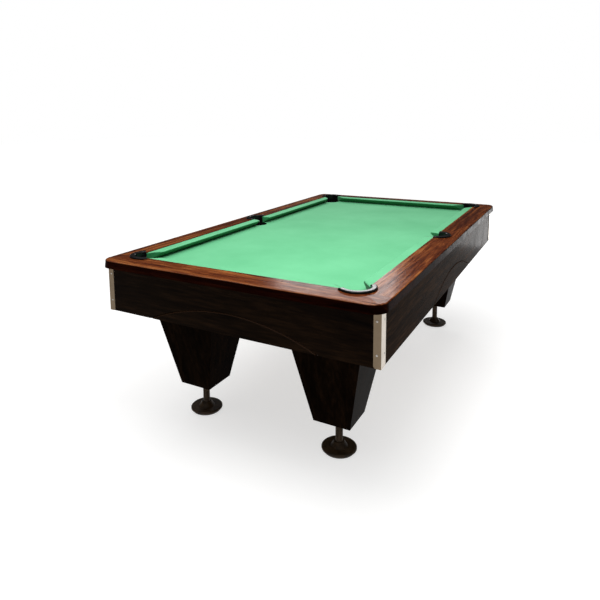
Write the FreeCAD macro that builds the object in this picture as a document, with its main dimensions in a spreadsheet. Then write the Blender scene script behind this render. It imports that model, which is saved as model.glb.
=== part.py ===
import FreeCAD, Part

import math
import os
import sys
from types import SimpleNamespace

import Sketcher

# Billiard table with six pockets, in millimetres, +Z up.
# The origin is on the floor under the middle of the table, and +Y runs along its length.

Vector = FreeCAD.Vector
Rotation = FreeCAD.Rotation

document = FreeCAD.newDocument("BilliardTable")
sheet = document.addObject("Spreadsheet::Sheet", "Sizes")

DRIVING_SIZES = [
    # Playing area between the cushion noses, and the height of its cloth above the floor
    ("play_length", 2220),
    ("play_width", 1110),
    ("bed_height", 840),
    # Wooden rails
    ("rail_wood", 115),
    ("rail_flare", 3),
    ("side_extra", 8),
    ("rail_height", 42),
    ("rail_drop", 5),
    ("rail_edge", 6),
    ("corner_round", 65),
    ("fascia_width", 40),
    ("cap_thickness", 20),
    ("middle_board", 110),
    # Cushions: rubber glued to the sub-rail's lip, and cloth held by a feather strip
    ("cushion_width", 50),
    ("nose_high", 36),
    ("nose_low", 34),
    ("lip_height", 38),
    ("crown_reach", 7),
    ("rubber_seat", 12),
    ("rubber_foot", 8),
    ("lip_width", 8),
    ("feather_width", 4),
    ("feather_floor", 30),
    ("feather_top", 37.5),
    ("cloth_thickness", 1),
    # Pockets
    ("corner_bore", 57),
    ("middle_bore", 55),
    ("corner_splay_share", 0.1),
    ("middle_splay_share", 0.2),
    ("mouth_reach", 150),
    ("liner_wall", 5),
    ("liner_rim", 26),
    ("rim_height", 14),
    ("rim_rise", 8),
    ("rim_round", 6),
    ("collar_wall", 3.5),
    ("slate_bore_wall", 4),
    ("cup_gap", 1),
    ("cup_wall", 4),
    ("cup_lip", 7),
    ("cup_lip_height", 3),
    ("cup_depth", 140),
    ("cup_floor", 4),
    # Slate bed in three pieces
    ("slate_thickness", 25),
    ("slate_margin", 42),
    # Cabinet
    ("side_overhang", 12),
    ("end_overhang", 40),
    ("apron_thickness", 28),
    ("apron_height", 224.5),
    ("apron_gap", 2),
    ("arch_radius", 1046),
    ("arch_rise", 97),
    ("groove_width", 8),
    ("groove_depth", 4),
    ("beam_height", 76),
    ("long_beam_width", 140),
    ("beam_cup_gap", 6),
    ("centre_beam_width", 100),
    ("seam_beam_width", 80),
    ("leg_beam_width", 60),
    ("end_beam_width", 20),
    ("block_width", 45),
    ("block_height", 160),
    # Corner trims and their screws
    ("trim_end_leaf", 32),
    ("trim_side_leaf", 50),
    ("trim_thickness", 2.5),
    ("trim_round", 12),
    ("screw_end_inset", 18),
    ("screw_side_inset", 36),
    ("screw_top_drop", 36),
    ("screw_bottom_rise", 54),
    ("screw_radius", 2),
    ("screw_length", 16),
    ("screw_head_radius", 4.5),
    ("screw_crown_radius", 2.5),
    ("screw_head_height", 1.5),
    # Legs
    ("leg_foot_width", 184),
    ("leg_top_width", 384),
    ("leg_floor_gap", 169),
    ("leg_inset_x", 318),
    ("leg_inset_y", 340),
    ("leg_edge", 3),
    ("leg_bore_depth", 140),
    # Levelling feet
    ("stem_radius", 18),
    ("stem_length", 270),
    ("stem_edge", 2),
    ("pad_radius", 74),
    ("pad_height", 7),
    ("disc_radius", 84),
    ("disc_edge", 4),
    ("disc_height", 21),
    ("hub_radius", 42),
    ("hub_top_radius", 25),
    ("hub_height", 46),
    ("socket_floor", 10),
    ("nut_flange_radius", 42),
    ("nut_flange_height", 6),
    ("nut_radius", 27),
    ("nut_height", 40),
    # Bolts
    ("rail_bolt_radius", 5),
    ("rail_bolt_head", 9),
    ("rail_bolt_head_height", 6),
    ("rail_bolt_reach", 17),
    ("rail_bolt_out", 58),
    ("leg_bolt_radius", 6),
    ("leg_bolt_head", 10),
    ("leg_bolt_head_height", 8),
    ("leg_bolt_reach", 60),
    ("leg_bolt_half_pitch_x", 45),
    ("leg_bolt_half_pitch_y", 120),
    # Clearances
    ("running_gap", 0.3),
    ("fit_gap", 0.5),
    ("overrun", 40),
]

for row, (alias, value) in enumerate(DRIVING_SIZES, start=1):
    sheet.set("A%d" % row, alias)
    sheet.set("B%d" % row, str(value))
    sheet.setAlias("B%d" % row, alias)
document.recompute()


class Size:
    """A length with the sheet expression that gives it, so that sums of sizes stay bound."""

    def __init__(self, value, text):
        self.value = value
        self.text = text

    def __add__(self, other):
        other = as_size(other)
        return Size(self.value + other.value, "(%s + %s)" % (self.text, other.text))

    def __sub__(self, other):
        other = as_size(other)
        return Size(self.value - other.value, "(%s - %s)" % (self.text, other.text))

    def __mul__(self, factor):
        factor = as_size(factor)
        return Size(self.value * factor.value, "(%s * %s)" % (self.text, factor.text))

    def __neg__(self):
        return self * -1


def as_size(value):
    if isinstance(value, Size):
        return value
    return Size(value, "(%r)" % value)


mm = SimpleNamespace(**{alias: Size(value, "Sizes." + alias) for alias, value in DRIVING_SIZES})

HALF = 0.5
DIAGONAL = math.sqrt(HALF)
FULL_TURN = 360
HALF_TURN = 180
QUARTER_TURN = 90
SIDES = {"left": -1, "right": 1}
ENDS = {"front": -1, "rear": 1}
CORNERS = [(end + "_" + side, SIDES[side], ENDS[end]) for end in ENDS for side in SIDES]
UPRIGHT = Rotation()

# Plan lines, from the middle of the table outwards
nose_x = mm.play_width * HALF
nose_y = mm.play_length * HALF
wood_x = nose_x + mm.cushion_width
wood_y = nose_y + mm.cushion_width
slate_x = wood_x + mm.slate_margin
slate_y = wood_y + mm.slate_margin
out_x = wood_x + mm.rail_wood + mm.side_extra + mm.rail_flare
out_y = wood_y + mm.rail_wood + mm.rail_flare
fascia_x = out_x - mm.fascia_width
fascia_y = out_y - mm.fascia_width
cabinet_x = wood_x + mm.rail_wood - mm.side_overhang
cabinet_y = wood_y + mm.rail_wood - mm.end_overhang
inside_x = cabinet_x - mm.apron_thickness
inside_y = cabinet_y - mm.apron_thickness
corner_cup_x = wood_x - mm.corner_bore * DIAGONAL
beam_edge_x = corner_cup_x - mm.corner_bore - mm.cup_lip - mm.beam_cup_gap
long_beam_x = beam_edge_x - mm.long_beam_width * HALF
leg_x = cabinet_x - mm.leg_inset_x
leg_y = cabinet_y - mm.leg_inset_y

# Heights above the floor
bed_z = mm.bed_height
slate_z = bed_z - mm.cloth_thickness
frame_z = slate_z - mm.slate_thickness
long_beam_z = frame_z - mm.beam_height
leg_top_z = long_beam_z - mm.beam_height
rail_z = bed_z + mm.rail_height
sub_rail_height = mm.rail_height - mm.cap_thickness
rim_z = rail_z + mm.rim_rise - mm.rim_height
apron_top_z = bed_z - mm.apron_gap
apron_z = apron_top_z - mm.apron_height

# Cushion section, out from the nose line
lip_out = mm.cushion_width - mm.feather_width - mm.cloth_thickness
rubber_out = lip_out - mm.lip_width
cloth_out = mm.cushion_width - mm.feather_width


def new(kind, name):
    return document.addObject(kind, name)


def bind(item, prop, value):
    """Give one property a named size, or a plain number such as zero."""
    if isinstance(value, Size):
        item.setExpression(prop, value.text)
    else:
        setattr(item, prop, value)


def place(item, x, y, z, turn=UPRIGHT):
    sizes = [as_size(value) for value in (x, y, z)]
    item.Placement = FreeCAD.Placement(Vector(*[size.value for size in sizes]), turn)
    for axis, size in zip("xyz", sizes):
        item.setExpression("Placement.Base." + axis, size.text)
    return item


def spin(angle):
    return Rotation(Vector(0, 0, 1), angle)


def towards(x, y, z):
    """The turn that lays the upright axis along a direction."""
    return Rotation(Vector(0, 0, 1), Vector(x, y, z))


def box(name, x, y, z):
    """A block between a low and a high place on each axis."""
    item = new("Part::Box", name)
    for prop, (low, high) in zip(("Length", "Width", "Height"), (x, y, z)):
        bind(item, prop, as_size(high) - low)
    return place(item, x[0], y[0], z[0])


def cylinder(name, radius, base, length, turn=UPRIGHT, sweep=FULL_TURN):
    item = new("Part::Cylinder", name)
    bind(item, "Radius", radius)
    bind(item, "Height", length)
    item.Angle = sweep
    return place(item, *base, turn)


def cone(name, low_radius, high_radius, base, length, turn=UPRIGHT):
    item = new("Part::Cone", name)
    bind(item, "Radius1", low_radius)
    bind(item, "Radius2", high_radius)
    bind(item, "Height", length)
    return place(item, *base, turn)


def hexagon(name, radius, base, length):
    item = new("Part::Prism", name)
    item.Polygon = 6
    bind(item, "Circumradius", radius)
    bind(item, "Height", length)
    return place(item, *base)


def fuse(name, items):
    item = new("Part::MultiFuse", name)
    item.Shapes = items
    item.Refine = True
    return item


def common(name, items):
    item = new("Part::MultiCommon", name)
    item.Shapes = items
    item.Refine = True
    return item


def cut(name, base, tool):
    item = new("Part::Cut", name)
    item.Base = base
    item.Tool = tool
    item.Refine = True
    return item


def together(name, items):
    """Separate solids that share one node."""
    item = new("Part::Compound", name)
    item.Links = items
    return item


def sketch_on(body, name, role, points):
    """A closed outline of straight sides, each corner bound to its two sizes."""
    sketch = body.newObject("Sketcher::SketchObject", name)
    plane = [item for item in body.Origin.OriginFeatures if item.Role == role][0]
    sketch.AttachmentSupport = [(plane, "")]
    sketch.MapMode = "FlatFace"
    points = [(as_size(across), as_size(up)) for across, up in points]
    places = [Vector(across.value, up.value, 0) for across, up in points]
    count = len(points)
    for number in range(count):
        side = Part.LineSegment(places[number], places[(number + 1) % count])
        sketch.addGeometry(side, False)
    for number in range(count):
        following = (number + 1) % count
        sketch.addConstraint(Sketcher.Constraint("Coincident", number, 2, following, 1))
    for number, point in enumerate(points):
        for kind, size in zip(("DistanceX", "DistanceY"), point):
            rule = Sketcher.Constraint(kind, -1, 1, number, 1, size.value)
            index = sketch.addConstraint(rule)
            sketch.setExpression("Constraints[%d]" % index, size.text)
    return sketch


def pad(body, name, role, points, length, taper=None):
    sketch = sketch_on(body, name + "_outline", role, points)
    item = body.newObject("PartDesign::Pad", name)
    item.Profile = sketch
    bind(item, "Length", length)
    if taper is not None:
        item.setExpression("TaperAngle", taper)
    return item


def revolve(body, name, points, sweep=FULL_TURN):
    """Turn an outline, given as (radius, height) corners, about the body's upright axis."""
    sketch = sketch_on(body, name + "_outline", "XZ_Plane", points)
    item = body.newObject("PartDesign::Revolution", name)
    item.Profile = sketch
    item.ReferenceAxis = (sketch, ["V_Axis"])
    item.Angle = sweep
    item.Midplane = sweep != FULL_TURN
    return item


def turned(name, points, base, turn=UPRIGHT):
    body = new("PartDesign::Body", name)
    revolve(body, name + "_turning", points)
    return place(body, *base, turn)


def round_over(body, name, radius, wanted):
    """Round the edges that the test picks on the body's last feature."""
    document.recompute()
    last = body.Tip
    edges = enumerate(last.Shape.Edges, start=1)
    names = ["Edge%d" % number for number, edge in edges if wanted(edge)]
    if not names:
        sys.exit("no edge to round on " + name)
    item = body.newObject("PartDesign::Fillet", name)
    item.Base = (last, names)
    bind(item, "Radius", radius)
    return item


def rectangle(x, y):
    return [(-x, -y), (x, -y), (x, y), (-x, y)]


def is_slanted_side(edge):
    """True for the straight edges that climb from a block's foot to its top."""
    low, high = edge.BoundBox.ZMin, edge.BoundBox.ZMax
    return high - low > mm.rail_edge.value


def strip(name, points, rail, low, high):
    """A bar along one rail; its corners are (out from the nose line, up from the bed)."""
    body = new("PartDesign::Body", name)
    if rail in SIDES:
        sign = SIDES[rail]
        corners = [((nose_x + out) * sign, bed_z + up) for out, up in points]
        pad(body, name + "_length", "XZ_Plane", corners, as_size(high) - low)
        return place(body, 0, high, 0)
    sign = ENDS[rail]
    corners = [((nose_y + out) * sign, bed_z + up) for out, up in points]
    pad(body, name + "_length", "YZ_Plane", corners, as_size(high) - low)
    return place(body, low, 0, 0)


# Six pockets: name, centre, bore, the way its back faces, and how its mouth widens
corner_step = mm.corner_bore * DIAGONAL
POCKETS = []
for corner, side, end in CORNERS:
    facing = math.degrees(math.atan2(end, side))
    centre_x = (wood_x - corner_step) * side
    centre_y = (wood_y - corner_step) * end
    POCKETS.append((corner, centre_x, centre_y, mm.corner_bore, facing, mm.corner_splay_share))
for side_name, side in SIDES.items():
    facing = math.degrees(math.atan2(0, side))
    POCKETS.append(
        ("middle_" + side_name, wood_x * side, 0, mm.middle_bore, facing, mm.middle_splay_share)
    )


def round_hole(name, pocket, radius, low, high, back_only=False):
    """A cutter for one pocket: a full round, or the half of it on the pocket's back."""
    label, x, y, bore, facing, splay = pocket
    base = (x, y, low)
    if back_only:
        turn = spin(facing - QUARTER_TURN)
        return cylinder(name + "_" + label, radius, base, high - low, turn, HALF_TURN)
    return cylinder(name + "_" + label, radius, base, high - low)


def mouth(name, pocket, low, high):
    """The opening between two cushion ends, which widens towards the bed."""
    label, x, y, bore, facing, splay = pocket
    item = new("Part::Wedge", name + "_" + label)
    far = bore + mm.mouth_reach * splay
    for prop, size in (("Xmin", -bore), ("Xmax", bore), ("X2min", -far), ("X2max", far)):
        bind(item, prop, size)
    item.Ymin = 0
    bind(item, "Ymax", mm.mouth_reach)
    for prop in ("Zmin", "Z2min"):
        setattr(item, prop, 0)
    for prop in ("Zmax", "Z2max"):
        bind(item, prop, high - low)
    return place(item, x, y, low, spin(facing + QUARTER_TURN))


# Bolts that pull the rails down on the slate
SIDE_BOLT_SHARES = (-0.9, -0.54, -0.18, 0.18, 0.54, 0.9)
END_BOLT_SHARES = (-0.54, 0, 0.54)
rail_bolt_places = []
for side in SIDES.values():
    for share in SIDE_BOLT_SHARES:
        rail_bolt_places.append(((nose_x + mm.rail_bolt_out) * side, nose_y * share))
for end in ENDS.values():
    for share in END_BOLT_SHARES:
        rail_bolt_places.append((nose_x * share, (nose_y + mm.rail_bolt_out) * end))
bolt_bores = []
for number, (x, y) in enumerate(rail_bolt_places):
    base = (x, y, frame_z)
    length = bed_z + mm.rail_bolt_reach + mm.fit_gap - frame_z
    radius = mm.rail_bolt_radius + mm.running_gap
    bolt_bores.append(cylinder("rail_bolt_bore_%d" % number, radius, base, length))

# Slate bed: three pieces that meet on the cross beams
THIRD_SHARE = 1 / 3
slate_holes = []
for pocket in POCKETS:
    bore = pocket[3]
    radius = bore + mm.slate_bore_wall
    slate_holes.append(round_hole("slate_hole", pocket, radius, frame_z, slate_z))
# Beside a middle pocket the hole is open to the slate's edge
bay = mm.middle_bore + mm.slate_bore_wall
for label, side in SIDES.items():
    low, high = sorted((wood_x * side, out_x * side), key=lambda size: size.value)
    slate_holes.append(box("slate_bay_" + label, (low, high), (-bay, bay), (frame_z, slate_z)))
slate_cutter = fuse("slate_cutter", slate_holes + bolt_bores)
seam_y = slate_y * THIRD_SHARE
slates = []
for label, low, high in (
    ("slate_front", -slate_y, -seam_y),
    ("slate_middle", -seam_y, seam_y),
    ("slate_rear", seam_y, slate_y),
):
    blank = box(label + "_blank", (-slate_x, slate_x), (low, high), (frame_z, slate_z))
    slates.append(cut(label, blank, slate_cutter))

# Bed cloth
cloth_holes = []
for pocket in POCKETS:
    bore = pocket[3]
    inner = bore + mm.slate_bore_wall
    outer = bore + mm.liner_wall + mm.cloth_thickness
    cloth_holes.append(round_hole("cloth_hole", pocket, inner, slate_z, bed_z))
    cloth_holes.append(round_hole("cloth_back", pocket, outer, slate_z, bed_z, True))
cloth_blank = box("bed_cloth_blank", (-slate_x, slate_x), (-slate_y, slate_y), (slate_z, bed_z))
bed_cloth = cut("bed_cloth", cloth_blank, fuse("cloth_cutter", cloth_holes + bolt_bores))

# The space that each pocket takes out of the rails and cushions
void_low = bed_z - mm.overrun
void_high = rail_z + mm.overrun
voids = []
for pocket in POCKETS:
    bore = pocket[3]
    back = bore + mm.liner_wall + mm.fit_gap
    voids.append(round_hole("void", pocket, bore, void_low, void_high))
    voids.append(round_hole("void_back", pocket, back, void_low, void_high, True))
    voids.append(mouth("void_mouth", pocket, void_low, void_high))
pocket_void = fuse("pocket_void", voids)

# Rail caps: one flared outline with rounded corners, sloping out from the cushions
rail_outline = new("PartDesign::Body", "rail_outline")
flare_angle = "-atan(Sizes.rail_flare / (Sizes.rail_height - Sizes.rail_drop))"
pad(rail_outline, "rail_block", "XY_Plane", rectangle(out_x, out_y), mm.rail_height, flare_angle)
round_over(rail_outline, "rail_corners", mm.corner_round, is_slanted_side)
place(rail_outline, 0, 0, bed_z)
eaves_x = wood_x + mm.rail_wood * 2
eaves_y = wood_y + mm.rail_wood * 2
eaves_z = rail_z - mm.rail_drop * 2
roof = new("Part::Wedge", "rail_roof")
for prop, size in (
    ("Xmin", -eaves_x),
    ("Xmax", eaves_x),
    ("X2min", -wood_x),
    ("X2max", wood_x),
    ("Zmin", -eaves_y),
    ("Zmax", eaves_y),
    ("Z2min", -wood_y),
    ("Z2max", wood_y),
    ("Ymax", rail_z - eaves_z),
):
    bind(roof, prop, size)
roof.Ymin = 0
place(roof, 0, 0, eaves_z, Rotation(Vector(1, 0, 0), QUARTER_TURN))
under_roof = box("under_roof", (-eaves_x, eaves_x), (-eaves_y, eaves_y), (bed_z, eaves_z))
sloped = common("sloped_rails", [rail_outline, fuse("roofed_block", [roof, under_roof])])
rail_ring = new("PartDesign::Body", "rail_ring")
rail_ring.BaseFeature = sloped


def is_top_rim(edge):
    """True for the edges round the outside of the sloping top."""
    low, high = edge.BoundBox.ZMin, edge.BoundBox.ZMax
    drop = mm.rail_drop.value
    return low > rail_z.value - drop - drop * HALF and high < rail_z.value - drop * HALF


round_over(rail_ring, "rail_rim", mm.rail_edge, is_top_rim)

playing_hole = box(
    "playing_hole", (-wood_x, wood_x), (-wood_y, wood_y), (void_low, void_high)
)
rebate = box(
    "cap_rebate",
    (-fascia_x, fascia_x),
    (-fascia_y, fascia_y),
    (void_low, rail_z - mm.cap_thickness),
)
rim_seats = []
for pocket in POCKETS:
    bore = pocket[3]
    radius = bore + mm.liner_rim + mm.fit_gap
    rim_seats.append(round_hole("rim_seat", pocket, radius, rim_z, void_high, True))
cap_cutter = fuse("cap_cutter", [playing_hole, rebate] + rim_seats)
caps_blank = cut("caps_blank", cut("caps_hollow", rail_ring, cap_cutter), pocket_void)
# Each side cap is two lengths, with a short board round the middle pocket between them
SIDE_BOARDS = {
    "front": (-wood_y, -mm.middle_board),
    "middle": (-mm.middle_board, mm.middle_board),
    "rear": (mm.middle_board, wood_y),
}
rails = []
for label, side in SIDES.items():
    low, high = sorted((wood_x * side, eaves_x * side), key=lambda size: size.value)
    boards = {}
    for part, (near, far) in SIDE_BOARDS.items():
        board = label + "_" + part
        region = box("side_region_" + board, (low, high), (near, far), (bed_z, void_high))
        boards[part] = common("side_rail_" + board, [caps_blank, region])
    rails.append(boards["middle"])
    rails.append(together("side_rail_" + label, [boards["front"], boards["rear"]]))
for label, end in ENDS.items():
    low, high = sorted((wood_y * end, eaves_y * end), key=lambda size: size.value)
    region = box("end_region_" + label, (-eaves_x, eaves_x), (low, high), (bed_z, void_high))
    rails.append(common("end_rail_" + label, [caps_blank, region]))

# Sub-rails under the caps, with the lip that carries the rubber
end_rebate_out = mm.cushion_width + mm.rail_wood + mm.rail_flare - mm.fascia_width
side_rebate_out = end_rebate_out + mm.side_extra


def sub_rail_section(rebate_out):
    """The corners of a sub-rail that reaches out to the end of its cap's rebate."""
    return [
        (rubber_out, 0),
        (rebate_out, 0),
        (rebate_out, sub_rail_height),
        (mm.cushion_width, sub_rail_height),
        (mm.cushion_width, mm.feather_floor),
        (lip_out, mm.feather_floor),
        (lip_out, mm.lip_height),
        (rubber_out, mm.lip_height),
    ]


END_RAIL = sub_rail_section(end_rebate_out)
SIDE_RAIL = sub_rail_section(side_rebate_out)
side_reach = nose_y + rubber_out - mm.fit_gap
side_start = mm.middle_bore + mm.liner_wall + mm.fit_gap
block_reach = side_start - mm.fit_gap
block_in = mm.cushion_width + side_start
# A block stands behind each middle pocket, between the two halves of a side sub-rail
POCKET_BLOCK = [
    (block_in, 0),
    (side_rebate_out, 0),
    (side_rebate_out, sub_rail_height),
    (block_in, sub_rail_height),
]
SUB_RAIL_RUNS = [
    ("front", END_RAIL, "front", -fascia_x, fascia_x),
    ("rear", END_RAIL, "rear", -fascia_x, fascia_x),
    ("left_front", SIDE_RAIL, "left", -side_reach, -side_start),
    ("left_block", POCKET_BLOCK, "left", -block_reach, block_reach),
    ("left_rear", SIDE_RAIL, "left", side_start, side_reach),
    ("right_front", SIDE_RAIL, "right", -side_reach, -side_start),
    ("right_block", POCKET_BLOCK, "right", -block_reach, block_reach),
    ("right_rear", SIDE_RAIL, "right", side_start, side_reach),
]
# The lip of an end rail stops where it would run on under the side caps
lip_stops = []
for corner, side, end in CORNERS:
    low_x, high_x = sorted((wood_x * side, out_x * side), key=lambda size: size.value)
    low_y, high_y = sorted((nose_y * end, wood_y * end), key=lambda size: size.value)
    low_z = bed_z + sub_rail_height
    lip_stops.append(
        box("lip_stop_" + corner, (low_x, high_x), (low_y, high_y), (low_z, void_high))
    )
sub_rail_cutter = fuse("sub_rail_cutter", [pocket_void] + bolt_bores + lip_stops)
sub_rail_pieces = []
for label, section, rail, low, high in SUB_RAIL_RUNS:
    blank = strip("sub_rail_blank_" + label, section, rail, low, high)
    sub_rail_pieces.append(cut("sub_rail_" + label, blank, sub_rail_cutter))
sub_rails = together("sub_rails", sub_rail_pieces)

# Cushion rubber, its cloth and the feather strip that wedges the cloth
RUBBER = [
    (rubber_out, mm.rubber_seat),
    (rubber_out, mm.lip_height),
    (mm.crown_reach, mm.lip_height),
    (mm.cloth_thickness, mm.nose_high),
    (mm.cloth_thickness, mm.nose_low),
    (rubber_out - mm.rubber_foot, mm.rubber_seat),
]
under_rubber = mm.rubber_seat - mm.cloth_thickness
front_of_lip = rubber_out - mm.cloth_thickness
CLOTH = [
    (cloth_out, mm.feather_floor),
    (cloth_out, mm.lip_height + mm.cloth_thickness),
    (mm.crown_reach, mm.lip_height + mm.cloth_thickness),
    (0, mm.nose_high + mm.cloth_thickness * HALF),
    (0, mm.nose_low - mm.cloth_thickness * HALF),
    (front_of_lip - mm.rubber_foot, under_rubber),
    (front_of_lip, under_rubber),
    (front_of_lip, mm.running_gap),
    (rubber_out, mm.running_gap),
] + RUBBER[:1] + RUBBER[:0:-1] + [
    (lip_out, mm.lip_height),
    (lip_out, mm.feather_floor),
]
FEATHER = [
    (cloth_out, mm.feather_floor),
    (mm.cushion_width, mm.feather_floor),
    (mm.cushion_width, mm.feather_top),
    (cloth_out, mm.feather_top),
]
CUSHIONS = [
    ("front", "front", -nose_x, nose_x),
    ("rear", "rear", -nose_x, nose_x),
    ("left_front", "left", -nose_y, 0),
    ("left_rear", "left", 0, nose_y),
    ("right_front", "right", -nose_y, 0),
    ("right_rear", "right", 0, nose_y),
]
rubbers = []
cushion_cloths = []
feathers = []
for label, rail, low, high in CUSHIONS:
    blank = strip("rubber_blank_" + label, RUBBER, rail, low, high)
    rubbers.append(cut("rubber_" + label, blank, pocket_void))
    blank = strip("cloth_blank_" + label, CLOTH, rail, low, high)
    cushion_cloths.append(cut("cushion_cloth_" + label, blank, pocket_void))
    blank = strip("feather_blank_" + label, FEATHER, rail, low, high)
    feathers.append(cut("feather_" + label, blank, pocket_void))
cushion_rubbers = together("cushion_rubbers", rubbers)
feather_strips = together("feather_strips", feathers)

# Pocket liners: a rim let into the wood over a half wall, on a collar through the slate
liners = []
cups = []
for pocket in POCKETS:
    label, x, y, bore, facing, splay = pocket
    body = new("PartDesign::Body", "pocket_liner_" + label)
    wall = bore + mm.liner_wall
    rim = bore + mm.liner_rim
    rim_top = mm.rail_height + mm.rim_rise
    rim_low = rim_top - mm.rim_height
    back_section = [
        (bore, -mm.cloth_thickness),
        (wall, -mm.cloth_thickness),
        (wall, rim_low),
        (rim, rim_low),
        (rim, rim_top),
        (bore, rim_top),
    ]
    revolve(body, "back_" + label, back_section, HALF_TURN)

    def is_rim_edge(edge, height=rim_top.value):
        """True for the edges round the top of the rim."""
        bound = edge.BoundBox
        return abs(bound.ZMin - height) < mm.running_gap.value and bound.ZLength < HALF

    round_over(body, "rim_" + label, mm.rim_round, is_rim_edge)
    collar = bore + mm.collar_wall
    collar_low = mm.running_gap - mm.cloth_thickness - mm.slate_thickness
    collar_section = [
        (bore, collar_low),
        (collar, collar_low),
        (collar, -mm.cloth_thickness),
        (bore, -mm.cloth_thickness),
    ]
    revolve(body, "collar_" + label, collar_section)
    liners.append(place(body, x, y, bed_z, spin(facing)))
    inner = bore + mm.cup_gap
    outer = bore + mm.cup_wall
    lip = bore + mm.cup_lip
    cup_section = [
        (0, -mm.cup_depth),
        (outer, -mm.cup_depth),
        (outer, -mm.cup_lip_height),
        (lip, -mm.cup_lip_height),
        (lip, 0),
        (inner, 0),
        (inner, mm.cup_floor - mm.cup_depth),
        (0, mm.cup_floor - mm.cup_depth),
    ]
    cups.append(turned("pocket_cup_" + label, cup_section, (x, y, frame_z)))

# Rail bolts
bolt_parts = []
for number, (x, y) in enumerate(rail_bolt_places):
    shank_base = (x, y, frame_z - mm.rail_bolt_head_height)
    head_base = shank_base
    length = bed_z + mm.rail_bolt_reach - frame_z + mm.rail_bolt_head_height
    shank = cylinder("rail_bolt_shank_%d" % number, mm.rail_bolt_radius, shank_base, length)
    head = hexagon(
        "rail_bolt_head_%d" % number, mm.rail_bolt_head, head_base, mm.rail_bolt_head_height
    )
    bolt_parts += [shank, head]
rail_bolts = fuse("rail_bolts", bolt_parts)

# Aprons with a shallow arch cut in their outer faces, and the trims on their corners
arch_centre_z = apron_z + mm.arch_rise - mm.arch_radius
GROOVE = [
    (mm.arch_radius - mm.groove_width * HALF, 0),
    (mm.arch_radius, -mm.groove_depth),
    (mm.arch_radius + mm.groove_width * HALF, 0),
]
SCREW_HEIGHTS = [apron_top_z - mm.screw_top_drop, apron_z + mm.screw_bottom_rise]
trim_x = cabinet_x + mm.trim_thickness
trim_y = cabinet_y + mm.trim_thickness
screw_bores = []
screw_parts = []
for corner, side, end in CORNERS:
    seats = [
        ("end", (trim_x - mm.screw_end_inset) * side, trim_y * end, (0, end)),
        ("side", trim_x * side, (trim_y - mm.screw_side_inset) * end, (side, 0)),
    ]
    for face, x, y, (out_dir_x, out_dir_y) in seats:
        for level, z in enumerate(SCREW_HEIGHTS):
            name = "%s_%s_%d" % (corner, face, level)
            inward = towards(-out_dir_x, -out_dir_y, 0)
            outward = towards(out_dir_x, out_dir_y, 0)
            base = (x, y, z)
            bore_radius = mm.screw_radius + mm.running_gap
            bore_length = mm.screw_length + mm.fit_gap
            screw_bores.append(
                cylinder("screw_bore_" + name, bore_radius, base, bore_length, inward)
            )
            screw_parts.append(
                cylinder("screw_shank_" + name, mm.screw_radius, base, mm.screw_length, inward)
            )
            screw_parts.append(
                cone(
                    "screw_head_" + name,
                    mm.screw_head_radius,
                    mm.screw_crown_radius,
                    base,
                    mm.screw_head_height,
                    outward,
                )
            )
trim_screws = fuse("trim_screws", screw_parts)
screw_bore_tool = fuse("screw_bore_tool", screw_bores)

aprons = []
for label, side in SIDES.items():
    low, high = sorted((inside_x * side, cabinet_x * side), key=lambda size: size.value)
    board = box(
        "side_board_" + label, (low, high), (-cabinet_y, cabinet_y), (apron_z, apron_top_z)
    )
    groove = turned(
        "side_arch_" + label, GROOVE, (cabinet_x * side, 0, arch_centre_z), towards(side, 0, 0)
    )
    tool = fuse("side_apron_tool_" + label, [groove, screw_bore_tool])
    aprons.append(cut("side_apron_" + label, board, tool))
for label, end in ENDS.items():
    low, high = sorted((inside_y * end, cabinet_y * end), key=lambda size: size.value)
    board = box(
        "end_board_" + label, (-inside_x, inside_x), (low, high), (apron_z, apron_top_z)
    )
    groove = turned(
        "end_arch_" + label, GROOVE, (0, cabinet_y * end, arch_centre_z), towards(0, end, 0)
    )
    tool = fuse("end_apron_tool_" + label, [groove, screw_bore_tool])
    aprons.append(cut("end_apron_" + label, board, tool))

trims = []
for corner, side, end in CORNERS:
    body = new("PartDesign::Body", "trim_angle_" + corner)
    end_stop = trim_x - mm.trim_end_leaf
    side_stop = trim_y - mm.trim_side_leaf
    outline = [
        (end_stop * side, trim_y * end),
        (trim_x * side, trim_y * end),
        (trim_x * side, side_stop * end),
        (cabinet_x * side, side_stop * end),
        (cabinet_x * side, cabinet_y * end),
        (end_stop * side, cabinet_y * end),
    ]
    pad(body, "trim_leaves_" + corner, "XY_Plane", outline, mm.apron_height)

    def is_leaf_corner(edge):
        """True for the short edges at the foot of the two leaves' free ends."""
        bound = edge.BoundBox
        short = edge.Length < mm.trim_thickness.value + mm.running_gap.value
        return short and bound.ZMax < mm.trim_round.value

    round_over(body, "trim_feet_" + corner, mm.trim_round, is_leaf_corner)
    place(body, 0, 0, apron_z)
    trims.append(cut("corner_trim_" + corner, body, screw_bore_tool))

# Frame under the slate
beams = []
for label, side in SIDES.items():
    half_width = mm.long_beam_width * HALF
    place_x = long_beam_x * side
    beams.append(
        box(
            "long_beam_blank_" + label,
            (place_x - half_width, place_x + half_width),
            (-inside_y, inside_y),
            (leg_top_z, long_beam_z),
        )
    )
half_centre = mm.centre_beam_width * HALF
centre_beam = box(
    "centre_beam", (-half_centre, half_centre), (-inside_y, inside_y), (leg_top_z, long_beam_z)
)
cross_pieces = []
for number, (middle, width, reach) in enumerate(
    (
        (seam_y, mm.seam_beam_width, inside_x),
        (leg_y, mm.leg_beam_width, inside_x),
        (inside_y - mm.end_beam_width * HALF, mm.end_beam_width, inside_x - mm.block_width),
    )
):
    for label, end in ENDS.items():
        half_width = width * HALF
        cross_pieces.append(
            box(
                "cross_beam_%s_%d" % (label, number),
                (-reach, reach),
                (middle * end - half_width, middle * end + half_width),
                (long_beam_z, frame_z),
            )
        )
cross_beams = together("cross_beams", cross_pieces)
block_pieces = []
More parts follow.
